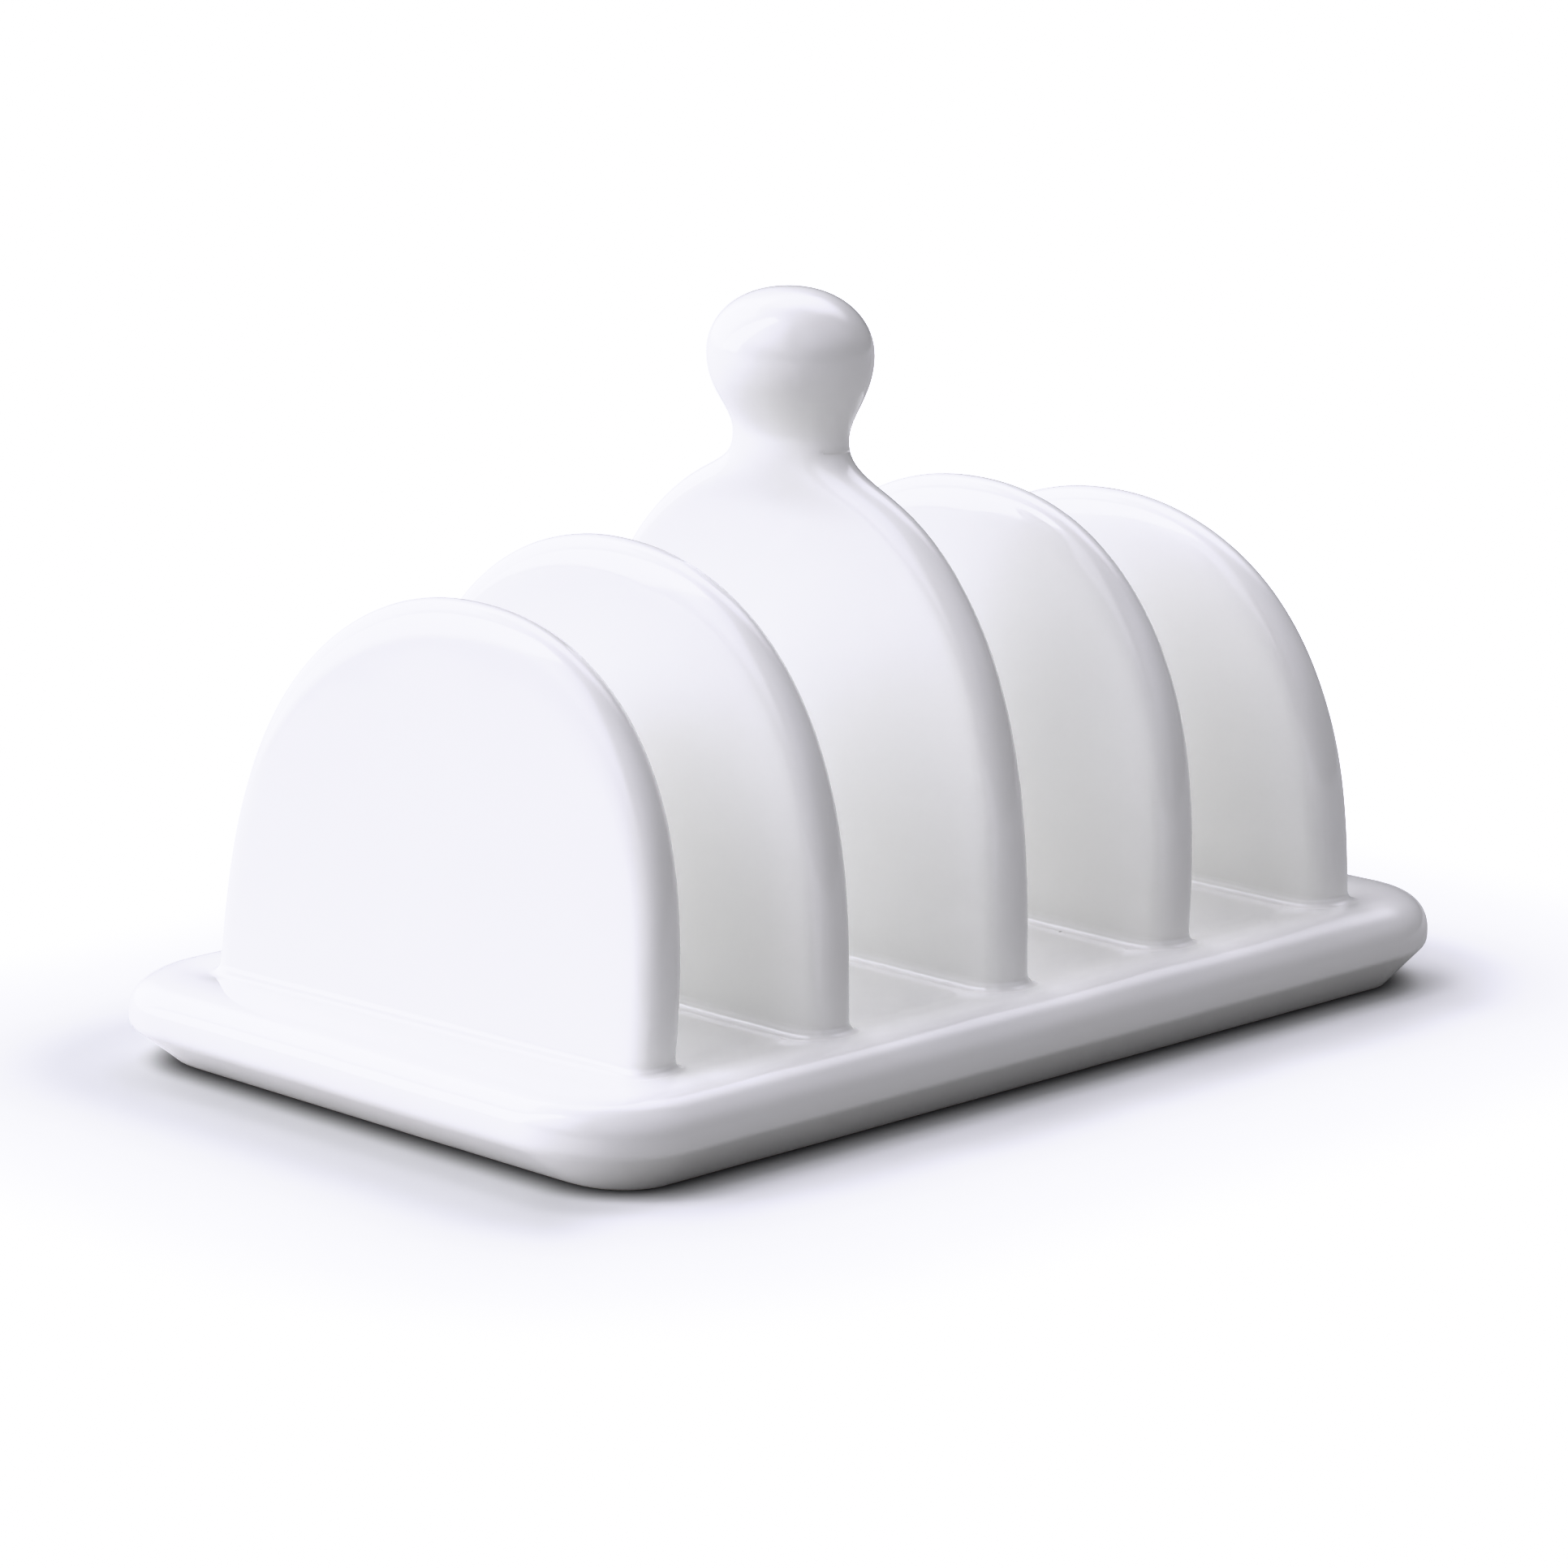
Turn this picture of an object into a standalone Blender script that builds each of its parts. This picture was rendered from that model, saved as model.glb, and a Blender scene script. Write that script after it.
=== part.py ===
"""Porcelain toast rack for four slices.

A rolled-rim base plate carries five arched dividers, and the tallest one, in the middle, ends in a knob.
X runs along the rack, Y across it and Z up. The origin is on the table, under the centre divider.
Units are metres.
"""

import math

import bmesh
import bpy
from mathutils import Matrix, Vector

MM = 0.001
JOINT_GAP = 0.3 * MM

# Base plate: the widest line of its rim is RIM_HEIGHT above the table.
BASE_HALF_LENGTH = 76.6 * MM
BASE_HALF_WIDTH = 47.0 * MM
BASE_CORNER = 14.0 * MM
SMALLEST_CORNER = 3.0 * MM
RIM_HEIGHT = 6.8 * MM
LIP_HEIGHT = 11.3 * MM
LIP_INSET = 7.0 * MM
FLOOR_HEIGHT = 10.7 * MM
FLOOR_INSET = 13.5 * MM
FOOT_INSET = 4.8 * MM
END_UNDERCUT = 2.2 * MM
FOOT_RING_WIDTH = 4.0 * MM
RECESS_DEPTH = 2.4 * MM
RECESS_SLOPE = 3.0 * MM
UPPER_ROUNDNESS = 2.8
LOWER_ROUNDNESS = 1.5

# Dividers: arched plates with a fully rounded edge.
DIVIDER_PITCH = 30.0 * MM
DIVIDER_THICKNESS = 6.2 * MM
ARCH_SPRING = 12.0 * MM
FOOT_OVERRUN = 3.0 * MM
ARCH_SIDE_POWER = 2.1
ARCH_TOP_POWER = 2.7
END_TOP = 60.6 * MM
FRONT_TOP = 61.2 * MM
INNER_TOP = 65.5 * MM
CENTRE_TOP = 72.0 * MM
ARCH_HALF_WIDTH = 39.2 * MM
FRONT_HALF_WIDTH = 36.8 * MM

# Ogee shoulders and neck of the centre divider.
SHOULDER_HALF_WIDTH = 15.0 * MM
NECK_HEIGHT = 73.6 * MM
NECK_RADIUS = 7.7 * MM
NECK_ROOT_RADIUS = 3.4 * MM
NECK_ROOT_HEIGHT = 63.0 * MM

# Knob: turned, then slightly flattened along the rack.
KNOB_RADIUS = 11.1 * MM
KNOB_WIDEST_HEIGHT = 84.6 * MM
KNOB_TOP = 92.9 * MM
KNOB_FLATNESS = 0.865
KNOB_PLACE = (-0.3 * MM, 0.5 * MM)

CORNER_STEPS = 7
ARCH_STEPS = 30
SHOULDER_STEPS = 6
TURNING_STEPS = 32

PORCELAIN = (0.86, 0.86, 0.87, 1.0)


def clear_scene():
    for obj in list(bpy.data.objects):
        bpy.data.objects.remove(obj, do_unlink=True)


def new_collection(name):
    collection = bpy.data.collections.new(name)
    bpy.context.scene.collection.children.link(collection)
    return collection


def ceramic(name, colour, roughness):
    material = bpy.data.materials.new(name)
    material.use_nodes = True
    shader = material.node_tree.nodes["Principled BSDF"]
    shader.inputs["Base Color"].default_value = colour
    shader.inputs["Roughness"].default_value = roughness
    shader.inputs["Metallic"].default_value = 0.0
    return material


def add_object(name, mesh, collection, material=None):
    obj = bpy.data.objects.new(name, mesh)
    collection.objects.link(obj)
    if material:
        obj.data.materials.append(material)
    return obj


def hide_guide(obj):
    obj.hide_render = True
    obj.display_type = "WIRE"


def shade_round(obj, degrees=35):
    obj.data.shade_smooth()
    obj.data.set_sharp_from_angle(angle=math.radians(degrees))


def superellipse(turn, width, height, side_power, top_power):
    """A point on the quarter from (width, 0) to (0, height), as turn goes from 0 to 1."""
    angle = turn * math.pi / 2
    across = width * math.cos(angle) ** (2 / side_power) if turn < 1 else 0.0
    return across, height * math.sin(angle) ** (2 / top_power)


# Base plate ---------------------------------------------------------------------------------


def rim_section():
    """(inset, height) stations of the plate, from the middle of its floor out over the rim and under."""
    section = []
    for step in range(5):
        t = step / 5
        ease = 0.5 - 0.5 * math.cos(math.pi * t)
        inset = FLOOR_INSET + (LIP_INSET - FLOOR_INSET) * t
        section.append((inset, FLOOR_HEIGHT + (LIP_HEIGHT - FLOOR_HEIGHT) * ease))
    rise = LIP_HEIGHT - RIM_HEIGHT
    for step in range(7):
        across, up = superellipse(1 - step / 6, LIP_INSET, rise, UPPER_ROUNDNESS, UPPER_ROUNDNESS)
        section.append((LIP_INSET - across, RIM_HEIGHT + up))
    for step in range(1, 7):
        across, down = superellipse(
            step / 6, FOOT_INSET, RIM_HEIGHT, LOWER_ROUNDNESS, LOWER_ROUNDNESS
        )
        section.append((FOOT_INSET - across, RIM_HEIGHT - down))
    ring = FOOT_INSET + FOOT_RING_WIDTH
    section.append((ring, 0.0))
    section.append((ring + 0.4 * RECESS_SLOPE, 0.7 * RECESS_DEPTH))
    section.append((ring + RECESS_SLOPE, RECESS_DEPTH))
    return section


def rounded_rectangle(half_length, half_width, corner):
    """Corner arcs in turn, counter-clockwise from +X."""
    points = []
    for quarter in range(4):
        side_x = 1 if quarter in (0, 3) else -1
        side_y = 1 if quarter in (0, 1) else -1
        centre = Vector((side_x * (half_length - corner), side_y * (half_width - corner)))
        for step in range(CORNER_STEPS + 1):
            angle = math.radians(90 * (quarter + step / CORNER_STEPS))
            points.append(centre + corner * Vector((math.cos(angle), math.sin(angle))))
    return points


def base_mesh(name):
    """A loft through the rim section: corners tighten inwards, and the ends tuck under the most."""
    bm = bmesh.new()
    rings = []
    under = False
    for inset, height in rim_section():
        under = under or height < RIM_HEIGHT
        tuck = END_UNDERCUT * (1 - height / RIM_HEIGHT) if under else 0.0
        corner = max(BASE_CORNER - inset, SMALLEST_CORNER)
        half_length = BASE_HALF_LENGTH - inset - tuck
        outline = rounded_rectangle(half_length, BASE_HALF_WIDTH - inset, corner)
        rings.append([bm.verts.new((p.x, p.y, height)) for p in outline])
    for inner, outer in zip(rings, rings[1:]):
        for i in range(len(inner)):
            j = (i + 1) % len(inner)
            bm.faces.new((inner[i], outer[i], outer[j], inner[j]))
    bm.faces.new(rings[0])
    bm.faces.new(reversed(rings[-1]))
    bmesh.ops.recalc_face_normals(bm, faces=bm.faces[:])
    mesh = bpy.data.meshes.new(name)
    bm.to_mesh(mesh)
    bm.free()
    return mesh


def make_base(collection, material):
    base = add_object("base_plate", base_mesh("base_plate"), collection, material)
    shade_round(base)
    return base


# Dividers -----------------------------------------------------------------------------------


def arch_half(half_width, top):
    """Outer (across, height) points from the foot to the crown."""
    rise = top - ARCH_SPRING
    points = []
    for step in range(ARCH_STEPS + 1):
        across, up = superellipse(
            step / ARCH_STEPS, half_width, rise, ARCH_SIDE_POWER, ARCH_TOP_POWER
        )
        points.append(Vector((across, ARCH_SPRING + up)))
    return points


def shoulder_half():
    """Outer points of the centre divider: its arch, then the ogee sweep up to the neck."""
    arch = [p for p in arch_half(ARCH_HALF_WIDTH, CENTRE_TOP) if p.x > SHOULDER_HALF_WIDTH]
    start = arch[-1]
    slope = (arch[-1] - arch[-2]).normalized()
    end = Vector((NECK_RADIUS, NECK_HEIGHT))
    reach = 0.62 * (end - start).length
    controls = (start, start + slope * reach, end - Vector((0, 1)) * reach * 0.55, end)
    for step in range(1, SHOULDER_STEPS + 1):
        t = step / SHOULDER_STEPS
        weights = ((1 - t) ** 3, 3 * t * (1 - t) ** 2, 3 * t * t * (1 - t), t**3)
        arch.append(sum((w * c for w, c in zip(weights, controls)), Vector((0, 0))))
    arch.append(end + Vector((0, DIVIDER_THICKNESS)))
    arch.append(Vector((0, end.y + DIVIDER_THICKNESS)))
    return arch


def inset_points(points, distance):
    """The outline moved in by the edge radius, so that a round bevel brings it back out."""
    inset = []
    for i, point in enumerate(points):
        before = points[max(i - 1, 0)]
        after = points[min(i + 1, len(points) - 1)]
        along = (after - before).normalized()
        inset.append(point + distance * Vector((-along.y, along.x)))
    return inset


def rounded_plate(name, half_outline):
    """A plate in the YZ plane with a fully rounded edge, from half of its outline."""
    radius = DIVIDER_THICKNESS / 2
    inset = inset_points(half_outline, radius)
    inset[0].y = FLOOR_HEIGHT - FOOT_OVERRUN
    inset[-1].x = 0.0
    right = [p for p in inset[:-1] if p.x > 0.2 * MM]
    outline = right + [inset[-1]] + [Vector((-p.x, p.y)) for p in reversed(right)]
    curve = bpy.data.curves.new(name, "CURVE")
    curve.dimensions = "2D"
    curve.fill_mode = "BOTH"
    curve.bevel_depth = radius
    curve.bevel_resolution = 2
    spline = curve.splines.new("POLY")
    spline.points.add(len(outline) - 1)
    spline.use_cyclic_u = True
    for point, target in zip(outline, spline.points):
        target.co = (point.x, point.y, 0.0, 1.0)
    return curve


def mesh_of_curve(name, curve, collection):
    """The curve as a welded mesh, with the outline's first axis along Y and its second along Z."""
    guide = bpy.data.objects.new(name + "_outline", curve)
    collection.objects.link(guide)
    bpy.context.view_layer.update()
    evaluated = guide.evaluated_get(bpy.context.evaluated_depsgraph_get())
    mesh = bpy.data.meshes.new_from_object(evaluated)
    mesh.name = name
    bm = bmesh.new()
    bm.from_mesh(mesh)
    bmesh.ops.remove_doubles(bm, verts=bm.verts[:], dist=0.01 * MM)
    upright = Matrix(((0, 0, 1, 0), (1, 0, 0, 0), (0, 1, 0, 0), (0, 0, 0, 1)))
    bmesh.ops.transform(bm, verts=bm.verts[:], matrix=upright)
    bmesh.ops.recalc_face_normals(bm, faces=bm.faces[:])
    bm.to_mesh(mesh)
    bm.free()
    bpy.data.objects.remove(guide, do_unlink=True)
    return mesh


def add_cutter(name, size, centre, collection):
    bm = bmesh.new()
    bmesh.ops.create_cube(bm, size=1.0)
    bmesh.ops.scale(bm, vec=size, verts=bm.verts[:])
    mesh = bpy.data.meshes.new(name)
    bm.to_mesh(mesh)
    bm.free()
    cutter = add_object(name, mesh, collection)
    cutter.location = centre
    hide_guide(cutter)
    return cutter


def boolean(obj, other, operation):
    modifier = obj.modifiers.new(operation.lower(), "BOOLEAN")
    modifier.operation = operation
    modifier.object = other


def make_divider(name, outline, place, lean, turn, parts, material, foot_cutter):
    curve = rounded_plate(name, outline)
    divider = add_object(name, mesh_of_curve(name, curve, parts), parts, material)
    foot = Vector((place, 0, FLOOR_HEIGHT))
    tilt = Matrix.Rotation(math.radians(lean), 4, "Y")
    swing = Matrix.Rotation(math.radians(turn), 4, "Z")
    divider.data.transform(Matrix.Translation((0, 0, -FLOOR_HEIGHT)))
    divider.matrix_world = Matrix.Translation(foot) @ swing @ tilt
    boolean(divider, foot_cutter, "DIFFERENCE")
    shade_round(divider)
    return divider


# Knob and neck ------------------------------------------------------------------------------


def turned(name, profile, collection, material=None):
    """Turns a profile of (radius, height), listed from the top down, about Z."""
    mesh = bpy.data.meshes.new(name)
    bm = bmesh.new()
    points = [bm.verts.new((radius, 0, height)) for radius, height in profile]
    for upper, lower in zip(points, points[1:]):
        bm.edges.new((upper, lower))
    bm.to_mesh(mesh)
    bm.free()
    obj = add_object(name, mesh, collection, material)
    screw = obj.modifiers.new("turn", "SCREW")
    screw.steps = TURNING_STEPS
    screw.render_steps = TURNING_STEPS
    screw.use_merge_vertices = True
    screw.merge_threshold = 0.00002
    return obj


def knob_profile():
    dome = KNOB_TOP - KNOB_WIDEST_HEIGHT
    profile = []
    for step in range(9):
        radius, up = superellipse(1 - step / 8, KNOB_RADIUS, dome, 2.0, 2.0)
        profile.append((radius, KNOB_WIDEST_HEIGHT + up))
    bottom = NECK_HEIGHT + JOINT_GAP
    for step in range(1, 10):
        t = step / 9
        ease = 0.5 - 0.5 * math.cos(math.pi * t)
        radius = KNOB_RADIUS + (NECK_RADIUS - KNOB_RADIUS) * ease
        profile.append((radius, KNOB_WIDEST_HEIGHT + (bottom - KNOB_WIDEST_HEIGHT) * t))
    profile.append((0.0, bottom))
    return profile


def neck_profile():
    """The neck's flare, from its top down to where it runs out in the divider's faces."""
    profile = [(0.0, NECK_HEIGHT), (NECK_RADIUS, NECK_HEIGHT)]
    for step in range(1, 8):
        t = step / 7
        radius = NECK_ROOT_RADIUS + (NECK_RADIUS - NECK_ROOT_RADIUS) * (1 - t) ** 2
        profile.append((radius, NECK_HEIGHT + (NECK_ROOT_HEIGHT - NECK_HEIGHT) * t))
    profile.append((0.0, NECK_ROOT_HEIGHT))
    return profile


def make_knob(parts, material):
    knob = turned("lifting_knob", knob_profile(), parts, material)
    knob.scale = (KNOB_FLATNESS, 1, 1)
    knob.location = (*KNOB_PLACE, 0)
    shade_round(knob)
    return knob


def make_centre_divider(parts, guides, material, foot_cutter):
    divider = make_divider(
        "centre_divider", shoulder_half(), 0.0, 0.0, 0.0, parts, material, foot_cutter
    )
    neck = turned("neck_flare", neck_profile(), guides)
    neck.scale = (KNOB_FLATNESS, 1, 1)
    neck.location = (*KNOB_PLACE, 0)
    hide_guide(neck)
    size = Vector((40, 40, 20)) * MM
    over = Vector((0, 0, NECK_HEIGHT + size.z / 2))
    neck_cutter = add_cutter("neck_cutter", size, over, guides)
    boolean(divider, neck, "UNION")
    boolean(divider, neck_cutter, "DIFFERENCE")
    return divider


# Whole rack ---------------------------------------------------------------------------------


def make_rack():
    clear_scene()
    parts = new_collection("toast_rack")
    guides = new_collection("cutters")
    glaze = ceramic("white_glaze", PORCELAIN, 0.08)
    foot_cutter = add_object("foot_cutter", base_mesh("foot_cutter"), guides)
    foot_cutter.location.z = JOINT_GAP
    hide_guide(foot_cutter)
    make_base(parts, glaze)
    front_end = arch_half(FRONT_HALF_WIDTH, FRONT_TOP)
    inner = arch_half(ARCH_HALF_WIDTH, INNER_TOP)
    rear_end = arch_half(ARCH_HALF_WIDTH, END_TOP)
    rows = (
        ("front_end_divider", front_end, -1.985, 7.7, 3.4),
        ("front_inner_divider", inner, -1.03, 0.9, 0.0),
        ("rear_inner_divider", inner, 0.97, 3.0, 0.0),
        ("rear_end_divider", rear_end, 1.99, -2.8, 0.0),
    )
    for name, outline, slots, lean, turn in rows:
        place = slots * DIVIDER_PITCH
        make_divider(name, outline, place, lean, turn, parts, glaze, foot_cutter)
    make_centre_divider(parts, guides, glaze, foot_cutter)
    make_knob(parts, glaze)


make_rack()
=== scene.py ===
"""The looks of the porcelain toast rack.

Every piece is rebuilt finer than its CAD node, with the glaze's soft fillets, and rides on the body "root".
Metres, in the CAD frame: X along the rack, Y across it, Z up, and the table at 0.
"""

import math

import bmesh
import bpy
import numpy as np
from mathutils import Matrix, Vector, noise


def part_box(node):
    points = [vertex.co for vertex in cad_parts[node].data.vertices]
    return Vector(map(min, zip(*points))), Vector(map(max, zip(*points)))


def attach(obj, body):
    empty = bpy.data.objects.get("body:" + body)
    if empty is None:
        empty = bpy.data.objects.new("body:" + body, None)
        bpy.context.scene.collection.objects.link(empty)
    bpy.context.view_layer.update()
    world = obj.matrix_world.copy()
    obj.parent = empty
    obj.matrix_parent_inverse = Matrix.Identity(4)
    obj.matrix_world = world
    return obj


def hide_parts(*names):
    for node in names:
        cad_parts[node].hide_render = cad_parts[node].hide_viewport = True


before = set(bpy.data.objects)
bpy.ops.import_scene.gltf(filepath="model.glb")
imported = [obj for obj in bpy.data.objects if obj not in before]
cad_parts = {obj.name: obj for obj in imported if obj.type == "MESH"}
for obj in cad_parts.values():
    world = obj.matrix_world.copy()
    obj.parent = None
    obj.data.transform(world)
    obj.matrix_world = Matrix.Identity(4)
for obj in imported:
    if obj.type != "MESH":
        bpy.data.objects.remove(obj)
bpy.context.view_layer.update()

MM = 0.001

# Base plate: heights above the table, and insets from the outline that the frame gives. A heel is where the
# undercut starts, as (inset, height).
BASE_CORNER = 14.0 * MM
SMALLEST_CORNER = 3.0 * MM
SIDE_RIM_HEIGHT = 6.1 * MM
END_RIM_HEIGHT = 7.2 * MM
SIDE_RIM_ROUNDNESS = 2.1
END_RIM_ROUNDNESS = 2.6
SIDE_LIP_INSET = 5.4 * MM
END_LIP_INSET = 7.0 * MM
FLOOR_INSET = 13.5 * MM
FLOOR_DROP = 0.6 * MM
SIDE_HEEL = (0.5 * MM, 4.5 * MM)
END_HEEL = (1.5 * MM, 4.4 * MM)
SIDE_FOOT_INSET = 4.6 * MM
END_FOOT_INSET = 7.2 * MM
FOOT_ROUND = 0.35 * MM
FOOT_RING_WIDTH = 3.6 * MM
RECESS_DEPTH = 2.4 * MM
RECESS_SLOPE = 2.4 * MM
FOOT_RING_LEVEL = 0.4 * MM
CENTRE_HOLE = 0.2 * MM
CURVE_PULL = 0.55

# Arched dividers: powers of their superellipses, depths of their rounded edges, and the fillet at the foot.
SIDE_POWER = 2.1
TOP_POWER = 2.7
ARCH_SPRING = 12.0 * MM
SIDE_EDGE_DEPTH = 3.8 * MM
CROWN_EDGE_DEPTH = 5.4 * MM
EDGE_POWER = 2.4
FACE_RING_BIAS = 1.4
FACE_SQUEEZE = 0.45
FRONT_DRAFT = 0.8 * MM
DRAFT_HEIGHT = 26.0 * MM
FILLET = 1.5 * MM
FOOT_RIPPLE = 0.022 * MM
FOOT_RIPPLE_SPAN = 0.55 * MM
SKIRT = 0.5 * MM
SKIRT_DROP = 0.6 * MM
SUNK = 0.03 * MM
RISE_FADE = 14.0 * MM

# Centre divider and knob: the arch turns at its shoulders into an ogee that rises to the neck.
CENTRE_TOP = 72.0 * MM
SHOULDER_HALF_WIDTH = 15.0 * MM
NECK_ALONG = 4.9 * MM
NECK_ACROSS = 8.95 * MM
NECK_FLARE = 9.0 * MM
WAIST_RISE = 0.7 * MM
KNOB_WIDEST_SHARE = 0.56
KNOB_DOME_POWER = 2.1
SEAM_OVERLAP = 0.8 * MM
SEAM_DRAW_IN = 0.996
OGEE_REACH = 0.62
OGEE_ARRIVAL = 0.5
SWELL_LEAVING = 0.29
SWELL_ARRIVAL = 0.49
NECK_ZONE = 14.0 * MM
SLOPE_STEP = 0.05 * MM

# Unevenness of a cast piece, as (reach, span) of smooth shifts, and the seed that fixes them.
WOBBLES = ((0.14 * MM, 34.0 * MM), (0.05 * MM, 11.0 * MM))
WOBBLE_SEED = 1
WOBBLE_FREE_HEIGHT = 5.0 * MM
MERGE_DISTANCE = 0.002 * MM

# Glaze: colours, roughness, and spans and heights of its unevenness.
GLAZE_IOR = 1.52
GLAZE_COLOUR = (0.915, 0.922, 0.886, 1)
GLAZE_WARM = (0.905, 0.909, 0.868, 1)
GLAZE_POOLED = (0.855, 0.865, 0.835, 1)
GLAZE_ROUGHNESS = 0.03
GLAZE_ROUGHNESS_CHANGE = 0.045
HOLLOW_POINTINESS = (0.495, 0.44)
CLOUD_SPAN = 28.0 * MM
CLOUD_RANGE = (0.3, 0.7)
SMEAR_SPAN = 9.0 * MM
PEEL_SPAN = 2.4 * MM
PEEL_HEIGHT = 0.004 * MM
RIPPLE_SPAN = 8.0 * MM
RIPPLE_HEIGHT = 0.03 * MM
PINHOLE_SPAN = 13.0 * MM
PINHOLE_RADIUS = 0.32 * MM
PINHOLE_DEPTH = 0.05 * MM
PINHOLE_CORE = 0.3
PINHOLE_SHARE = 0.22
PINHOLE_STAIN = 0.75
PINHOLE_COLOUR = (0.45, 0.42, 0.38, 1)

# Bare clay of the foot ring.
BARE_ROUGHNESS = 0.8
BARE_IOR = 1.4
BARE_COLOUR = (0.70, 0.67, 0.61, 1)
BARE_LIGHT = (0.80, 0.78, 0.73, 1)
BARE_SCUFFED = (0.42, 0.41, 0.40, 1)
BARE_HEIGHT = 0.45 * MM
BARE_RAGGED = 0.35 * MM
BARE_RAGGED_SPAN = 3.0 * MM
BARE_EDGE = 0.05 * MM
GRAIN_SPAN = 0.35 * MM
GRAIN_HEIGHT = 0.03 * MM
SCUFF_SPAN = 6.0 * MM
SCUFF_RANGE = (0.5, 0.72)
SCUFF_STRENGTH = 0.6

# Floor: what it bounces on the lit and the shaded side of a diagonal, as painted light and shade, what the
# camera sees there, darker on the lit side as painted shadow, the painted shadow round the object's foot, and
# the fade to plain white.
FLOOR_HALF_SIZE = 3.0
FLOOR_PAINTED_LIT_BOUNCE = (0.66, 0.66, 0.65, 1)
FLOOR_PAINTED_SHADE_BOUNCE = (0.36, 0.36, 0.35, 1)
FLOOR_TURN = 10.0 * MM
FLOOR_SEEN_LIT_PAINTED_SHADOW = (0.58, 0.59, 0.57, 1)
FLOOR_SEEN_SHADE = (0.86, 0.87, 0.85, 1)
FOOT_CORNER = 8.5 * MM
PAINTED_CONTACT_SHADOW = (0.08, 0.08, 0.08, 1)
PAINTED_SHADOW_START = 0.5 * MM
PAINTED_SHADOW_REACH = 6.0 * MM
BACKDROP_WHITE = 3.0
FLOOR_FADE = (6.0 * MM, 52.0 * MM)
PAPER_SPAN = 0.8 * MM
PAPER_STRENGTH = 0.03
PAPER_FLECK = (0.8, 0.8, 0.8, 1)

# Studio light, as patches of a sphere. Each has a brightness, then in degrees its middle and half width,
# lowest and highest, softness at the sides and at the ends, and lean.
STUDIO_COLOUR = (0.975, 0.957, 1.075, 1)
STUDIO_DARK = 0.02
STUDIO_PATCHES = (
    (5.3, 124, 12, 2, 66, 1.5, 2, 24),
    (3.7, 92, 24, 0, 52, 8, 4, 0),
    (1.8, 168, 30, 20, 72, 14, 10, 0),
    (2.9, 35, 45, 40, 72, 15, 10, 0),
    (0.85, 275, 52, 25, 62, 15, 12, 0),
)
WORLD_MAP_SIZE = 1024

# Highlight shoulder: scene light, then what it becomes in red and green, and in blue.
TONE_POINTS = (
    (0.0, 0.0, 0.0),
    (0.45, 0.45, 0.45),
    (0.8, 0.785, 0.8),
    (0.95, 0.88, 0.92),
    (1.2, 0.925, 0.96),
    (1.6, 0.948, 0.98),
    (2.2, 0.966, 0.992),
    (3.0, 1.0, 1.0),
)

# Camera.
SENSOR_WIDTH = 36.0
LENS = 135.1
HEADING = 45.612
DIP = 12.907
AIM = (-1.97 * MM, 0.0, 30.48 * MM)
AIM_DISTANCE = 735.70 * MM
CLIP = (0.01, 20.0)

# How finely the pieces are divided.
CORNER_STEPS = 20
SIDE_STEP = 2.0 * MM
EDGE_STEPS = 24
RIM_STEPS = 24
HEEL_STEPS = 12
UNDERCUT_STEPS = 8
TUCK_STEPS = 6
PLATE_RINGS = 16
DISH_STEPS = 12
RECESS_STEPS = 8
UNDERSIDE_RINGS = 12
FACE_RINGS = 9
ARCH_STEPS = 110
FILLET_STEPS = 16
SECTION_STEPS = 40
BODY_LEVELS = 34
NECK_LEVELS = 33
KNOB_STEPS = 20
FINE_ARCH_POINTS = 4001
FINE_QUARTER_POINTS = 2001
FINE_CURVE_POINTS = 200


# Helpers ------------------------------------------------------------------------------------


def ease(t):
    t = np.clip(t, 0.0, 1.0)
    return t * t * (3 - 2 * t)


def grid_faces(rows, columns, wrap):
    """Quads over a grid of points stored row after row; wrap joins each row's end to its start."""
    across = columns if wrap else columns - 1
    row, column = np.meshgrid(np.arange(rows - 1), np.arange(across), indexing="ij")
    after = (column + 1) % columns
    here, beyond = row * columns, (row + 1) * columns
    quads = (here + column, here + after, beyond + after, beyond + column)
    return np.stack(quads, -1).reshape(-1, 4).tolist()


def wobbled(points):
    """Points shifted by one smooth field, so that pieces that touch still touch. The foot stays flat."""
    points = np.array(points).reshape(-1, 3)
    lift = ease(points[:, 2] / WOBBLE_FREE_HEIGHT)
    shift = np.zeros_like(points)
    for reach, span in WOBBLES:
        shift += reach * np.array([noise.noise_vector(Vector(point) / span) for point in points])
    shift[:, 2] *= lift
    return points + shift


def add_piece(name, points, faces, material, node):
    """A smooth mesh piece that stands for a CAD node."""
    mesh = bpy.data.meshes.new(name)
    mesh.from_pydata(wobbled(points).tolist(), [], faces)
    bm = bmesh.new()
    bm.from_mesh(mesh)
    bmesh.ops.remove_doubles(bm, verts=bm.verts[:], dist=MERGE_DISTANCE)
    bmesh.ops.recalc_face_normals(bm, faces=bm.faces[:])
    bm.to_mesh(mesh)
    bm.free()
    mesh.shade_smooth()
    mesh.materials.append(material)
    piece = bpy.data.objects.new(name, mesh)
    bpy.context.scene.collection.objects.link(piece)
    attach(piece, "root")
    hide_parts(node)


# Base plate ---------------------------------------------------------------------------------

low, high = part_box("base_plate")
HALF_LENGTH = (high.x - low.x) / 2
HALF_WIDTH = (high.y - low.y) / 2
LIP_HEIGHT = high.z
FLOOR_HEIGHT = LIP_HEIGHT - FLOOR_DROP


def mix(side, end, share):
    """The value between a long side's and an end's, for how far the outline there faces along X."""
    return side + (end - side) * share


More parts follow.
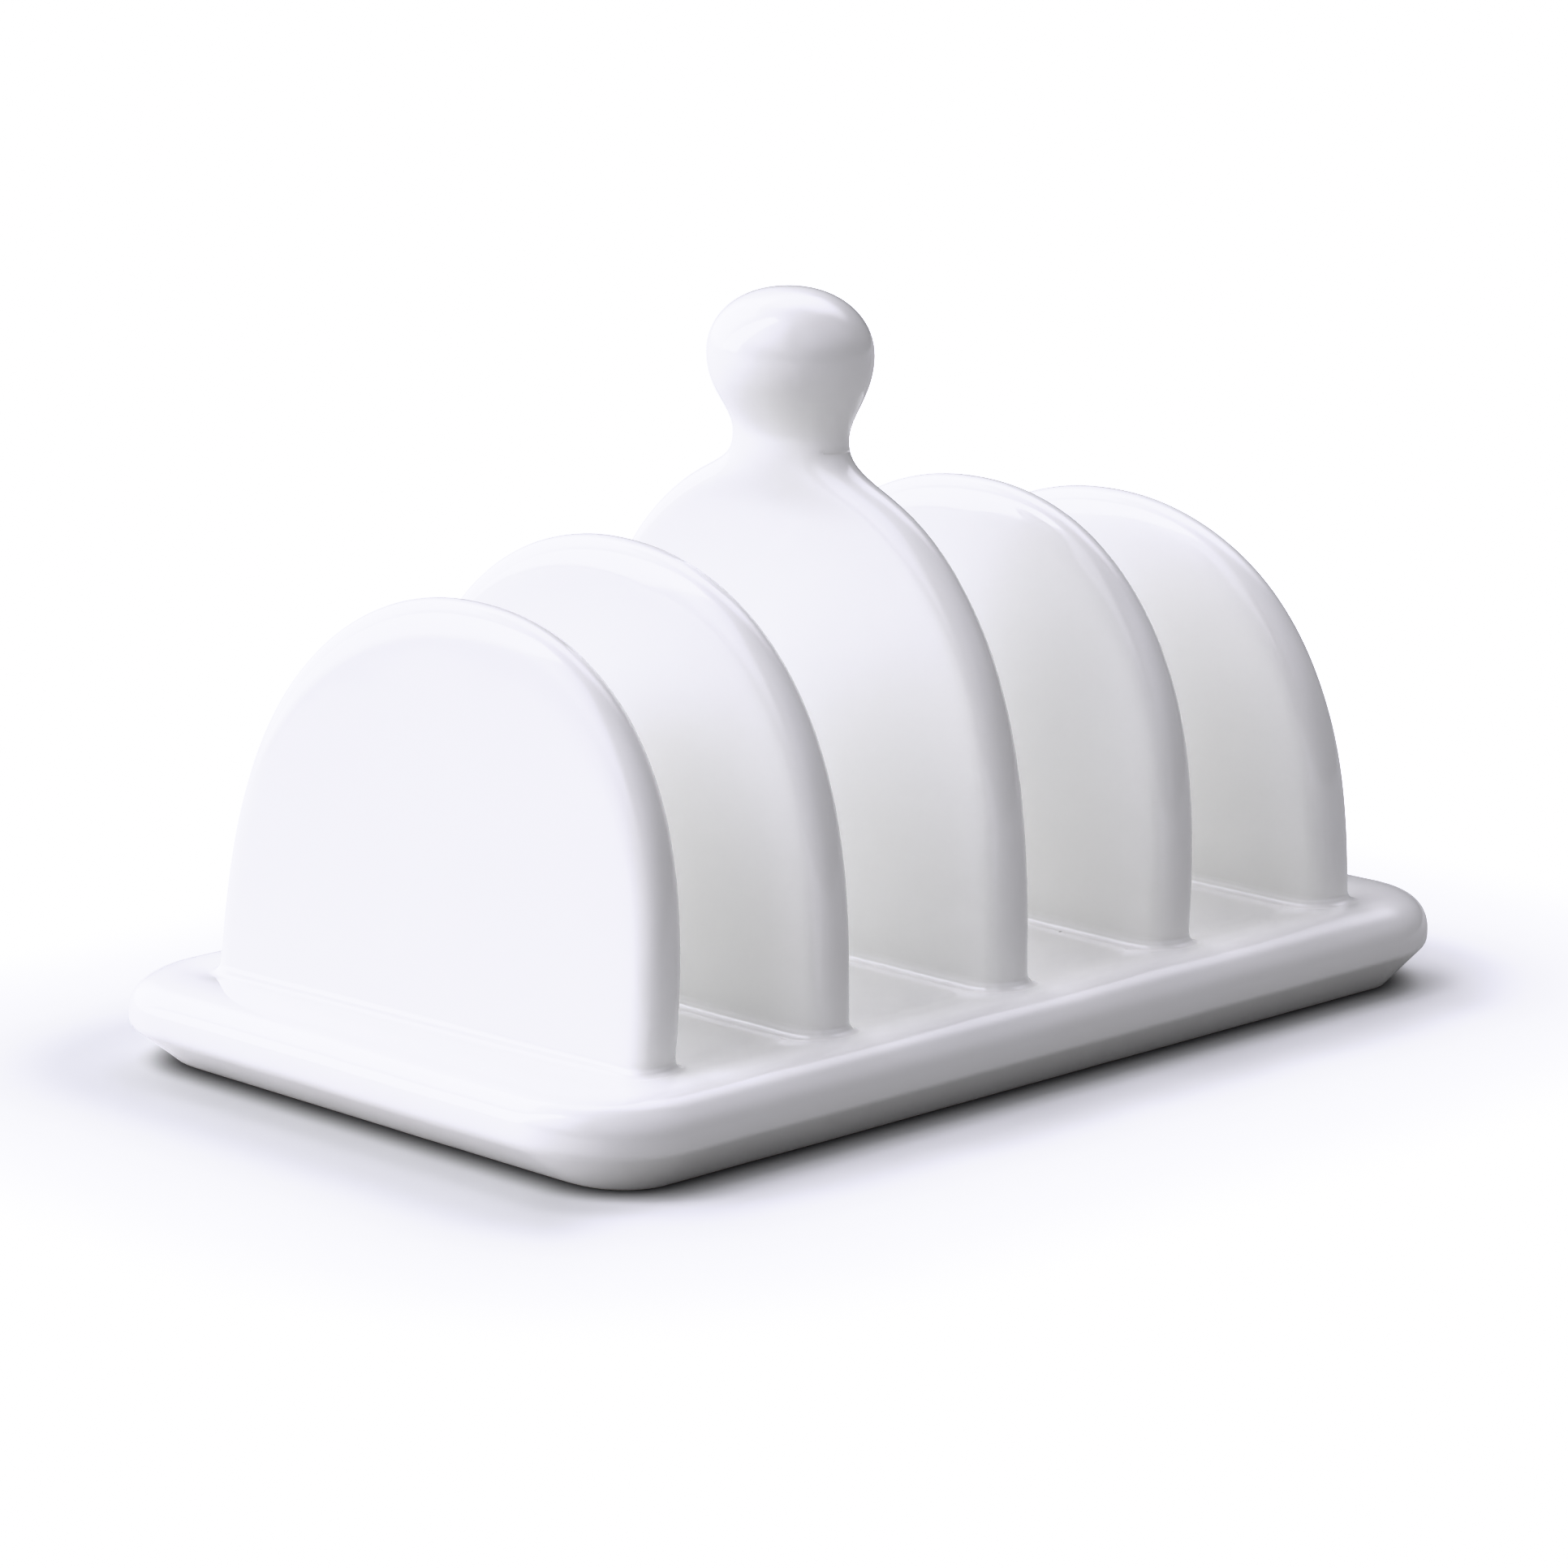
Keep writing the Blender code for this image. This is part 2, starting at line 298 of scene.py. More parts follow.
def inset_of(x, y):
    """(how far points lie inside the plate's outline, how far the outline nearest them faces along X)."""
    across = np.abs(x) - (HALF_LENGTH - BASE_CORNER)
    along = np.abs(y) - (HALF_WIDTH - BASE_CORNER)
    right, up = np.maximum(across, 0), np.maximum(along, 0)
    outside = np.hypot(right, up)
    straight = np.where(across > along, 1.0, 0.0)
    share = np.where(outside > 0, (right / np.maximum(outside, 1e-9)) ** 2, straight)
    return BASE_CORNER - outside - np.minimum(np.maximum(across, along), 0), share


def top_height(inset, share):
    """Height of the plate's upper surface at an inset from its outline."""
    rim_height = mix(SIDE_RIM_HEIGHT, END_RIM_HEIGHT, share)
    lip_inset = mix(SIDE_LIP_INSET, END_LIP_INSET, share)
    roundness = mix(SIDE_RIM_ROUNDNESS, END_RIM_ROUNDNESS, share)
    run = np.clip(1 - inset / lip_inset, 0, 1)
    rim = rim_height + (LIP_HEIGHT - rim_height) * (1 - run**roundness) ** (1 / roundness)
    t = np.clip((inset - lip_inset) / (FLOOR_INSET - lip_inset), 0, 1)
    dish = LIP_HEIGHT - FLOOR_DROP * (0.5 - 0.5 * np.cos(np.pi * t))
    return np.where(inset < lip_inset, rim, dish)


def ground(x, y):
    return top_height(*inset_of(x, y))


def rounded_rectangle(half_length, half_width, corner):
    """Points round a rounded rectangle, as many on each side and corner whatever its size."""
    points = []
    corners = ((1, 1, 0), (-1, 1, 90), (-1, -1, 180), (1, -1, 270))
    side_counts = (round(2 * HALF_LENGTH / SIDE_STEP), round(2 * HALF_WIDTH / SIDE_STEP))
    for i, (sx, sy, start) in enumerate(corners):
        centre = np.array([sx * (half_length - corner), sy * (half_width - corner)])
        angles = np.radians(start + np.linspace(0, 90, CORNER_STEPS + 1))
        arc = centre + corner * np.stack([np.cos(angles), np.sin(angles)], 1)
        nx, ny, nstart = corners[(i + 1) % 4]
        angle = math.radians(nstart)
        following = np.array([nx * (half_length - corner), ny * (half_width - corner)])
        following = following + corner * np.array([math.cos(angle), math.sin(angle)])
        count = side_counts[i % 2]
        t = np.linspace(0, 1, count + 1)[1:-1, None]
        points.append(arc)
        points.append(arc[-1] * (1 - t) + following * t)
    return np.concatenate(points)


def bezier(start, leaving, arriving, end, count):
    """Points of a cubic curve from start to end, pulled through the two vectors."""
    start, end = np.array(start), np.array(end)
    t = np.linspace(0, 1, count)[:, None]
    first, second = start + np.array(leaving), end + np.array(arriving)
    return (1 - t) ** 3 * start + 3 * t * (1 - t) ** 2 * first + 3 * t * t * (1 - t) * second + t**3 * end


def rim_section(rim_height, roundness, lip_inset, heel, foot_inset):
    """(inset, height) down the rim: over the lip, round the widest line and the heel, and in to the foot."""
    angle = np.linspace(np.pi / 2, 0, RIM_STEPS + 1)
    across = np.cos(angle) ** (2 / roundness)
    across[0] = 0
    up = np.sin(angle) ** (2 / roundness)
    shoulder = np.stack([lip_inset * (1 - across), rim_height + (LIP_HEIGHT - rim_height) * up], 1)
    undercut = np.array([foot_inset - heel[0], -heel[1]])
    undercut = undercut / np.linalg.norm(undercut)
    drop = rim_height - heel[1]
    turn = bezier((0, rim_height), (0, -CURVE_PULL * drop), -undercut * CURVE_PULL * drop, heel, HEEL_STEPS)
    foot = np.array([foot_inset, 0.0])
    before, after = foot - undercut * FOOT_ROUND, foot + np.array([FOOT_ROUND, 0])
    slope = np.linspace(heel, before, UNDERCUT_STEPS)
    pull = FOOT_ROUND * CURVE_PULL
    tuck = bezier(before, undercut * pull, (-pull, 0), after, TUCK_STEPS)
    return np.concatenate([shoulder, turn[1:], slope[1:], tuck[1:]])


def flat_ring(inset, height):
    """Points round the plate at an inset where it is level."""
    corner = max(BASE_CORNER - inset, min(SMALLEST_CORNER, HALF_WIDTH - inset))
    inner = rounded_rectangle(HALF_LENGTH - inset, HALF_WIDTH - inset, corner)
    return np.column_stack([inner, np.full(len(inner), height)])


def upper_rings(outline, normal, share):
    """Rings from the middle of the plate's floor out to the lip."""
    insets = np.linspace(HALF_WIDTH - CENTRE_HOLE, FLOOR_INSET, PLATE_RINGS)
    rings = [flat_ring(inset, FLOOR_HEIGHT) for inset in insets[:-1]]
    lip = mix(SIDE_LIP_INSET, END_LIP_INSET, share)
    for t in np.linspace(0, 1, DISH_STEPS)[:-1]:
        inset = FLOOR_INSET + (lip - FLOOR_INSET) * t
        rings.append(np.column_stack([outline - normal * inset, top_height(inset, share)]))
    return rings


def rim_rings(outline, normal, share):
    """Rings from the lip, round the widest line and the heel, to the foot."""
    side = rim_section(SIDE_RIM_HEIGHT, SIDE_RIM_ROUNDNESS, SIDE_LIP_INSET, SIDE_HEEL, SIDE_FOOT_INSET)
    end = rim_section(END_RIM_HEIGHT, END_RIM_ROUNDNESS, END_LIP_INSET, END_HEEL, END_FOOT_INSET)
    rings = []
    for beside, ahead in zip(side, end):
        station = mix(beside, ahead, share)
        rings.append(np.column_stack([outline - normal * station[:, :1], station[:, 1:]]))
    return rings


def lower_rings(outline, normal, share):
    """Rings from the foot, over its flat ring and up the recess, to the middle of the underside."""
    ring = mix(SIDE_FOOT_INSET, END_FOOT_INSET, share) + FOOT_RING_WIDTH
    rings = [np.column_stack([outline - normal * (ring - FOOT_RING_LEVEL), np.zeros(len(outline))])]
    for step in range(1, RECESS_STEPS + 1):
        t = step / RECESS_STEPS
        height = np.full(len(outline), RECESS_DEPTH * float(ease(t)))
        rings.append(np.column_stack([outline - normal * (ring + RECESS_SLOPE * t), height]))
    outermost = END_FOOT_INSET + FOOT_RING_WIDTH + RECESS_SLOPE
    insets = np.linspace(outermost, HALF_WIDTH - CENTRE_HOLE, UNDERSIDE_RINGS)
    return rings + [flat_ring(inset, RECESS_DEPTH) for inset in insets[1:]]


def make_base(material):
    outline = rounded_rectangle(HALF_LENGTH, HALF_WIDTH, BASE_CORNER)
    normal = (outline - rounded_rectangle(HALF_LENGTH - MM, HALF_WIDTH - MM, BASE_CORNER - MM)) / MM
    share = normal[:, :1] ** 2
    line = (outline, normal, share)
    rings = np.array(upper_rings(*line) + rim_rings(*line) + lower_rings(*line))
    count = rings.shape[1]
    faces = grid_faces(len(rings), count, True)
    faces.append(list(range(count)))
    faces.append(list(range((len(rings) - 1) * count, len(rings) * count)))
    add_piece("base_plate_glazed", rings, faces, material, "base_plate")


# Arched dividers ----------------------------------------------------------------------------


def plate_frame(node):
    """(matrix, half thickness, half width, top) of a flat CAD plate.

    In the matrix's frame X goes through the plate, Z runs up it, and the floor of the base is at 0.
    """
    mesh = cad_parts[node].data
    normal = Vector()
    for face in mesh.polygons:
        if face.normal.x < -0.97:
            normal -= face.normal * face.area
    normal.normalize()
    across = Vector((0, 0, 1)).cross(normal).normalized()
    upward = normal.cross(across)
    turn = Matrix((normal, across, upward)).transposed()
    local = np.array([v.co for v in mesh.vertices]) @ np.array(turn)
    low, high = local.min(0), local.max(0)
    middle = (low + high) / 2
    foot = turn @ Vector((middle[0], middle[1], 0))
    foot += upward * ((FLOOR_HEIGHT - foot.z) / upward.z)
    top = high[2] - foot.dot(upward)
    matrix = Matrix.Translation(foot) @ turn.to_4x4()
    return matrix, (high[0] - low[0]) / 2, (high[1] - low[1]) / 2, top


def arch_outline(half_width, top):
    """((across, height) points over an arch from foot to foot, their outward normals)."""
    spring = ARCH_SPRING - FLOOR_HEIGHT
    angle = np.linspace(0, np.pi, FINE_ARCH_POINTS)
    cosine, sine = np.cos(angle), np.abs(np.sin(angle))
    across = half_width * np.sign(cosine) * np.abs(cosine) ** (2 / SIDE_POWER)
    height = spring + (top - spring) * sine ** (2 / TOP_POWER)
    across = np.concatenate([[half_width], across, [-half_width]])
    height = np.concatenate([[0.0], height, [0.0]])
    length = np.concatenate([[0], np.cumsum(np.hypot(np.diff(across), np.diff(height)))])
    along = foot_spacing(length[-1])
    points = np.stack([np.interp(along, length, across), np.interp(along, length, height)], 1)
    fine = np.stack([across, height], 1)
    tangent = np.gradient(fine, length + np.arange(len(length)) * 1e-12, axis=0)
    normal = np.stack([tangent[:, 1], -tangent[:, 0]], 1)
    normal = np.stack([np.interp(along, length, normal[:, 0]), np.interp(along, length, normal[:, 1])], 1)
    return points, normal / np.linalg.norm(normal, axis=1)[:, None]


def foot_heights():
    """(height, outward reach) of the rows that sweep out from a wall to the floor, from the sunk skirt up."""
    rows = [(-SUNK - SKIRT_DROP, FILLET + SKIRT), (-SUNK, FILLET + SKIRT)]
    for step in range(FILLET_STEPS):
        angle = math.pi / 2 * (1 - step / FILLET_STEPS)
        height, reach = FILLET * (1 - math.sin(angle)), FILLET * (1 - math.cos(angle))
        ripple = FOOT_RIPPLE * math.sin(2 * math.pi * height / FOOT_RIPPLE_SPAN) * math.sin(2 * angle)
        rows.append((height, reach + ripple))
    return rows


def foot_spacing(length):
    """Distances along an outline: the fillet's rows at both ends, and even steps between."""
    feet = np.array([max(height, 0.0) for height, _ in foot_heights()])
    between = np.linspace(FILLET, length - FILLET, ARCH_STEPS + 1)
    return np.concatenate([feet, between, length - feet[::-1]])


def settle(points, outward, heights, reaches, matrix):
    """Moves the lowest points of a wall out and down, so that it runs into the plate in a fillet.

    points and outward are in the divider's frame, and heights and reaches hold one value for each point.
    """
    turn = np.array(matrix.to_3x3())
    world = points @ turn.T + np.array(matrix.translation)
    away = outward @ turn.T
    away[..., 2] = 0
    size = np.linalg.norm(away, axis=-1, keepdims=True)
    away = away / np.maximum(size, 1e-9)
    world = world + away * reaches[..., None]
    floor = ground(world[..., 0], world[..., 1])
    upward = turn[:, 2]
    fade = 1 - ease((heights - FILLET) / RISE_FADE)
    wanted = np.where(heights <= FILLET, floor + heights, world[..., 2] + (floor - FLOOR_HEIGHT) * fade)
    return world + upward * ((wanted - world[..., 2]) / upward[2])[..., None]


def arch_feet(outline):
    """(heights, reaches) of an outline's points above the floor and out from the wall."""
    count = len(outline)
    heights = np.maximum(outline[:, 1], 0)
    reaches = np.zeros(count)
    for i, (height, reach) in enumerate(foot_heights()):
        heights[[i, count - 1 - i]] = height
        reaches[[i, count - 1 - i]] = reach
    return heights, reaches


def arch_half(side, radius, top, outline, normal, bulge):
    """(points, outward directions) of rows from the middle of one face out to the edge, both as lists."""
    depth = mix(SIDE_EDGE_DEPTH, CROWN_EDGE_DEPTH, np.clip(normal[:, 1:], 0, 1) ** 2)
    core = outline - normal * depth
    count = len(outline)
    rows, aways = [], []
    for share in 1 - (1 - np.linspace(0, 1, FACE_RINGS)) ** FACE_RING_BIAS:
        squeeze = 1 - (1 - share) * FACE_SQUEEZE * ease(core[:, 1] / top)
        face = side * radius + bulge * (side > 0)
        rows.append(np.stack([face, core[:, 0] * share, core[:, 1] * squeeze], 1))
        aways.append(np.tile([side, 0.0, 0.0], (count, 1)))
    for step in range(1, EDGE_STEPS // 2 + (side > 0)):
        angle = math.pi / 2 * step / (EDGE_STEPS // 2)
        spread = core + normal * depth * math.sin(angle) ** (2 / EDGE_POWER)
        share = max(math.cos(angle), 0.0) ** (2 / EDGE_POWER)
        face = side * radius * share + bulge * (side > 0) * share
        rows.append(np.column_stack([face, spread]))
        through = np.full(count, side * math.cos(angle))
        aways.append(np.column_stack([through, normal * math.sin(angle)]))
    return rows, aways


def make_arch(name, node, material, draft):
    matrix, radius, half_width, top = plate_frame(node)
    outline, normal = arch_outline(half_width, top)
    heights, reaches = arch_feet(outline)
    bulge = draft * (1 - ease(heights / DRAFT_HEIGHT))
    near_rows, near_aways = arch_half(1, radius, top, outline, normal, bulge)
    far_rows, far_aways = arch_half(-1, radius, top, outline, normal, bulge)
    points = np.array(near_rows + far_rows[::-1])
    outward = np.array(near_aways + far_aways[::-1])
    rings, count = points.shape[:2]
    heights = np.broadcast_to(heights, (rings, count))
    reaches = np.broadcast_to(reaches, (rings, count))
    world = settle(points, outward, heights, reaches, matrix)
    faces = grid_faces(rings, count, False)
    for i in range(rings // 2):
        j = rings - 1 - i
        for end in (0, count - 1):
            faces.append([row * count + end for row in (i, i + 1, j - 1, j)])
    add_piece(name, world, faces, material, node)


# Centre divider and knob --------------------------------------------------------------------


def centre_outline(half_width, neck_height, knob_low, knob_high):
    """(heights, half widths across, half widths along, widest height) from the foot to the knob's top."""
    angle = np.linspace(0, np.pi / 2, FINE_QUARTER_POINTS)
    across = half_width * np.cos(angle) ** (2 / SIDE_POWER)
    height = ARCH_SPRING + (CENTRE_TOP - ARCH_SPRING) * np.sin(angle) ** (2 / TOP_POWER)
    keep = across > SHOULDER_HALF_WIDTH
    arch = np.stack([across[keep], height[keep]], 1)
    arch = np.concatenate([[[half_width, 0.0]], arch])
    slope = arch[-1] - arch[-2]
    slope = slope / np.linalg.norm(slope)
    waist = np.array([NECK_ACROSS, neck_height + WAIST_RISE])
    reach = OGEE_REACH * np.linalg.norm(waist - arch[-1])
    ogee = bezier(arch[-1], slope * reach, (0, -OGEE_ARRIVAL * reach), waist, FINE_CURVE_POINTS)
    widest = knob_low.z + KNOB_WIDEST_SHARE * (knob_high.z - knob_low.z)
    swell = widest - waist[1]
    knob_across = (knob_high.y - knob_low.y) / 2
    knob_along = (knob_high.x - knob_low.x) / 2
    lift, drop = (0, SWELL_LEAVING * swell), (0, -SWELL_ARRIVAL * swell)
    side = bezier(waist, lift, drop, (knob_across, widest), FINE_CURVE_POINTS)
    front = bezier((NECK_ALONG, waist[1]), lift, drop, (knob_along, widest), FINE_CURVE_POINTS)
    dome = np.sin(angle[1:]) ** (2 / KNOB_DOME_POWER)
    round_off = np.cos(angle[1:]) ** (2 / KNOB_DOME_POWER)
    round_off[-1] = 0
    above = widest + (knob_high.z - widest) * dome
    heights = np.concatenate([arch[:, 1], ogee[1:, 1], side[1:, 1], above])
    across = np.concatenate([arch[:, 0], ogee[1:, 0], side[1:, 0], knob_across * round_off])
    below = np.full(len(arch) + len(ogee) - 1, NECK_ALONG)
    along = np.concatenate([below, front[1:, 0], knob_along * round_off])
    return heights, across, along, widest


def centre_section(height, outline, radius, neck_height, place):
    """Closed ring at a height: a round-edged plate below the neck, an ellipse above it."""
    heights, across, along, widest = outline
    half = np.interp(height, heights, across)
    deep = np.interp(height, heights, along)
    above = np.interp(height + SLOPE_STEP, heights, across)
    below = np.interp(height - SLOPE_STEP, heights, across)
    slope = (above - below) / (2 * SLOPE_STEP)
    cap = min(radius * math.hypot(1, slope), half)
    angle = np.linspace(0, np.pi, SECTION_STEPS + 1)
    y = half * np.cos(angle)
    beyond = np.clip((np.abs(y) - (half - cap)) / max(cap, 1e-9), 0, 1)
    plate = radius * np.sqrt(1 - beyond**2)
    ellipse = deep * np.sin(angle)
    blend = float(ease((height - neck_height + NECK_FLARE) / NECK_FLARE))
    x = (1 - blend) * plate + blend * ellipse
    x[[0, -1]] = 0
    ring = np.concatenate([np.stack([-x, y], 1), np.stack([x, y], 1)[-2:0:-1]])
    return np.column_stack([ring + blend * np.array(place), np.full(len(ring), height)])


def sunk_section(height, outline, radius, neck, place):
    """The section drawn in a hair, to run on inside the neighbouring piece."""
    ring = centre_section(height, outline, radius, neck, place)
    middle = ring.mean(0)
    return middle + (ring - middle) * SEAM_DRAW_IN


def centre_levels(neck):
    """(level, height above the floor, outward reach) of the centre divider's rings, foot to neck."""
    levels = [(FLOOR_HEIGHT + max(height, 0), height, reach) for height, reach in foot_heights()]
    body = np.linspace(FLOOR_HEIGHT + FILLET, neck - NECK_ZONE, BODY_LEVELS)
    throat = np.linspace(neck - NECK_ZONE, neck, NECK_LEVELS)[1:]
    for level in np.concatenate([body, throat]):
        levels.append((level, level - FLOOR_HEIGHT, 0.0))
    return levels


def make_centre_divider(material, outline, radius, neck, place):
    levels = centre_levels(neck)
    rings = np.array([centre_section(level, outline, radius, neck, place) for level, _, _ in levels])
    outward = np.roll(rings, -1, 1) - np.roll(rings, 1, 1)
    outward = np.stack([outward[..., 1], -outward[..., 0], np.zeros(outward.shape[:2])], -1)
    middle = rings.mean(1, keepdims=True)
    outward *= np.sign(((rings - middle) * outward).sum(-1, keepdims=True))
    count = rings.shape[1]
    heights = np.array([height for _, height, _ in levels])[:, None] * np.ones(count)
    reaches = np.array([reach for _, _, reach in levels])[:, None] * np.ones(count)
    rings = settle(rings, outward, heights, reaches, Matrix.Identity(4))
    top = sunk_section(neck + SEAM_OVERLAP, outline, radius, neck, place)
    rings = np.concatenate([rings, [top]])
    faces = grid_faces(len(rings), count, True)
    faces.append(list(range((len(rings) - 1) * count, len(rings) * count)))
    faces.append(list(range(count)))
    add_piece("centre_divider_glazed", rings, faces, material, "centre_divider")


def make_knob(material, outline, radius, neck, place, top):
    widest = outline[3]
    levels = list(np.linspace(neck, widest, KNOB_STEPS + 1))
    for step in range(1, KNOB_STEPS + 1):
        turn = math.sin(math.pi / 2 * step / KNOB_STEPS)
        levels.append(widest + (top - widest) * turn ** (2 / KNOB_DOME_POWER))
    rings = [sunk_section(neck - SEAM_OVERLAP, outline, radius, neck, place)]
    rings += [centre_section(level, outline, radius, neck, place) for level in levels]
    rings = np.array(rings)
    count = rings.shape[1]
    faces = grid_faces(len(rings), count, True)
    faces.append(list(range(count)))
    add_piece("knob_glazed", rings, faces, material, "lifting_knob")


def make_centre(material):
    """The centre divider and the knob that grows out of it, as two pieces that share a section."""
    node_low, node_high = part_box("centre_divider")
    knob_low, knob_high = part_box("lifting_knob")
    place = ((knob_low.x + knob_high.x) / 2, (knob_low.y + knob_high.y) / 2)
    radius = plate_frame("front_inner_divider")[1]
    neck = node_high.z
    outline = centre_outline((node_high.y - node_low.y) / 2, neck, knob_low, knob_high)
    make_centre_divider(material, outline, radius, neck, place)
    make_knob(material, outline, radius, neck, place, knob_high.z)


# Materials ----------------------------------------------------------------------------------


class Graph:
    """Adds and links nodes of one node tree."""

    def __init__(self, tree):
        self.tree = tree
        tree.nodes.clear()

    def add(self, kind, settings=None, **inputs):
        node = self.tree.nodes.new(kind)
        for name, value in (settings or {}).items():
            setattr(node, name, value)
        for name, value in inputs.items():
            self.join(value, node.inputs[name.replace("_", " ")])
        return node

    def join(self, value, socket):
        if isinstance(value, bpy.types.NodeSocket):
            self.tree.links.new(value, socket)
        else:
            socket.default_value = value

    def math(self, operation, *values):
        node = self.tree.nodes.new("ShaderNodeMath")
        node.operation = operation
        for value, socket in zip(values, node.inputs):
            self.join(value, socket)
        return node.outputs[0]

    def rise(self, value, low, high):
        """0 at low, 1 at high, and smooth between."""
        node = self.tree.nodes.new("ShaderNodeMapRange")
        node.interpolation_type = "SMOOTHSTEP"
        self.join(value, node.inputs["Value"])
        node.inputs["From Min"].default_value = low
        node.inputs["From Max"].default_value = high
        return node.outputs["Result"]

    def blend(self, factor, first, second):
        node = self.tree.nodes.new("ShaderNodeMix")
        node.data_type = "RGBA"
        self.join(factor, node.inputs["Factor"])
        self.join(first, node.inputs["A"])
        self.join(second, node.inputs["B"])
        return node.outputs["Result"]

    def noise(self, place, span, detail=2.0, rough=0.5):
        node = self.add("ShaderNodeTexNoise", Vector=place, Scale=1 / span, Detail=detail, Roughness=rough)
        return node.outputs["Fac"]


def new_material(name):
    material = bpy.data.materials.new(name)
    material.use_nodes = True
    return material, Graph(material.node_tree)


def glaze_shader(graph, place):
    """Glossy white glaze with faint clouds of colour, pooled hollows, orange peel, ripples and pinholes."""
    hollow = graph.rise(graph.add("ShaderNodeNewGeometry").outputs["Pointiness"], *HOLLOW_POINTINESS)
    cloud = graph.rise(graph.noise(place, CLOUD_SPAN), *CLOUD_RANGE)
    colour = graph.blend(cloud, GLAZE_COLOUR, GLAZE_WARM)
    colour = graph.blend(hollow, colour, GLAZE_POOLED)
    cells = graph.add("ShaderNodeTexVoronoi", Vector=place, Scale=1 / PINHOLE_SPAN)
    chosen = graph.add("ShaderNodeSeparateColor", Color=cells.outputs["Color"]).outputs[0]
    rim = PINHOLE_RADIUS / PINHOLE_SPAN
    near = graph.rise(cells.outputs["Distance"], rim, PINHOLE_CORE * rim)
    pinhole = graph.math("MULTIPLY", near, graph.math("GREATER_THAN", chosen, 1 - PINHOLE_SHARE))
    colour = graph.blend(graph.math("MULTIPLY", pinhole, PINHOLE_STAIN), colour, PINHOLE_COLOUR)
    smear = graph.noise(place, SMEAR_SPAN, 3.0)
    roughness = graph.math("MULTIPLY_ADD", smear, GLAZE_ROUGHNESS_CHANGE, GLAZE_ROUGHNESS)
    height = graph.math("MULTIPLY", graph.noise(place, PEEL_SPAN, 1.0), PEEL_HEIGHT)
    height = graph.math("MULTIPLY_ADD", graph.noise(place, RIPPLE_SPAN, 1.0), RIPPLE_HEIGHT, height)
    height = graph.math("MULTIPLY_ADD", pinhole, -PINHOLE_DEPTH, height)
    bump = graph.add("ShaderNodeBump", Strength=1.0, Distance=1.0, Height=height)
    shader = graph.add("ShaderNodeBsdfPrincipled", Base_Color=colour, Roughness=roughness, IOR=GLAZE_IOR)
    graph.join(bump.outputs[0], shader.inputs["Normal"])
    return shader.outputs[0]


def bare_shader(graph, place):
    """Unglazed biscuit: matt, slightly cream, fine grained, and scuffed grey where it slides on a table."""
    grain = graph.noise(place, GRAIN_SPAN, 4.0, 0.7)
    scuff = graph.rise(graph.noise(place, SCUFF_SPAN, 5.0, 0.65), *SCUFF_RANGE)
    colour = graph.blend(grain, BARE_COLOUR, BARE_LIGHT)
    colour = graph.blend(graph.math("MULTIPLY", scuff, SCUFF_STRENGTH), colour, BARE_SCUFFED)
    height = graph.math("MULTIPLY", grain, GRAIN_HEIGHT)
    bump = graph.add("ShaderNodeBump", Strength=1.0, Distance=1.0, Height=height)
    shader = graph.add("ShaderNodeBsdfPrincipled", Base_Color=colour, Roughness=BARE_ROUGHNESS, IOR=BARE_IOR)
    graph.join(bump.outputs[0], shader.inputs["Normal"])
    return shader.outputs[0]


def make_glaze():
    material, graph = new_material("white_glaze")
    place = graph.add("ShaderNodeTexCoord").outputs["Object"]
    graph.add("ShaderNodeOutputMaterial", Surface=glaze_shader(graph, place))
    return material


def make_footed_glaze():
    """The glaze with the foot's standing face wiped bare up to a ragged line."""
    material, graph = new_material("white_glaze_with_bare_foot")
    place = graph.add("ShaderNodeTexCoord").outputs["Object"]
    height = graph.add("ShaderNodeSeparateXYZ", Vector=place).outputs["Z"]
    ragged = graph.math("MULTIPLY_ADD", graph.noise(place, BARE_RAGGED_SPAN, 3.0), -BARE_RAGGED, height)
    line = BARE_HEIGHT - BARE_RAGGED
    glazed = graph.rise(ragged, line - BARE_EDGE, line + BARE_EDGE)
    mixed = graph.add("ShaderNodeMixShader", Fac=glazed)
    graph.join(bare_shader(graph, place), mixed.inputs[1])
    graph.join(glaze_shader(graph, place), mixed.inputs[2])
    graph.add("ShaderNodeOutputMaterial", Surface=mixed.outputs[0])
    return material


# Studio -------------------------------------------------------------------------------------


def beyond_oblong(graph, parts, half_length, half_width, radius):
    """How far a point of the floor lies outside a rounded oblong."""
    squares = []
    for axis, half in ((0, half_length), (1, half_width)):
        away = graph.math("SUBTRACT", graph.math("ABSOLUTE", parts.outputs[axis]), half - radius)
        squares.append(graph.math("POWER", graph.math("MAXIMUM", away, 0.0), 2.0))
    return graph.math("SUBTRACT", graph.math("SQRT", graph.math("ADD", *squares)), radius)


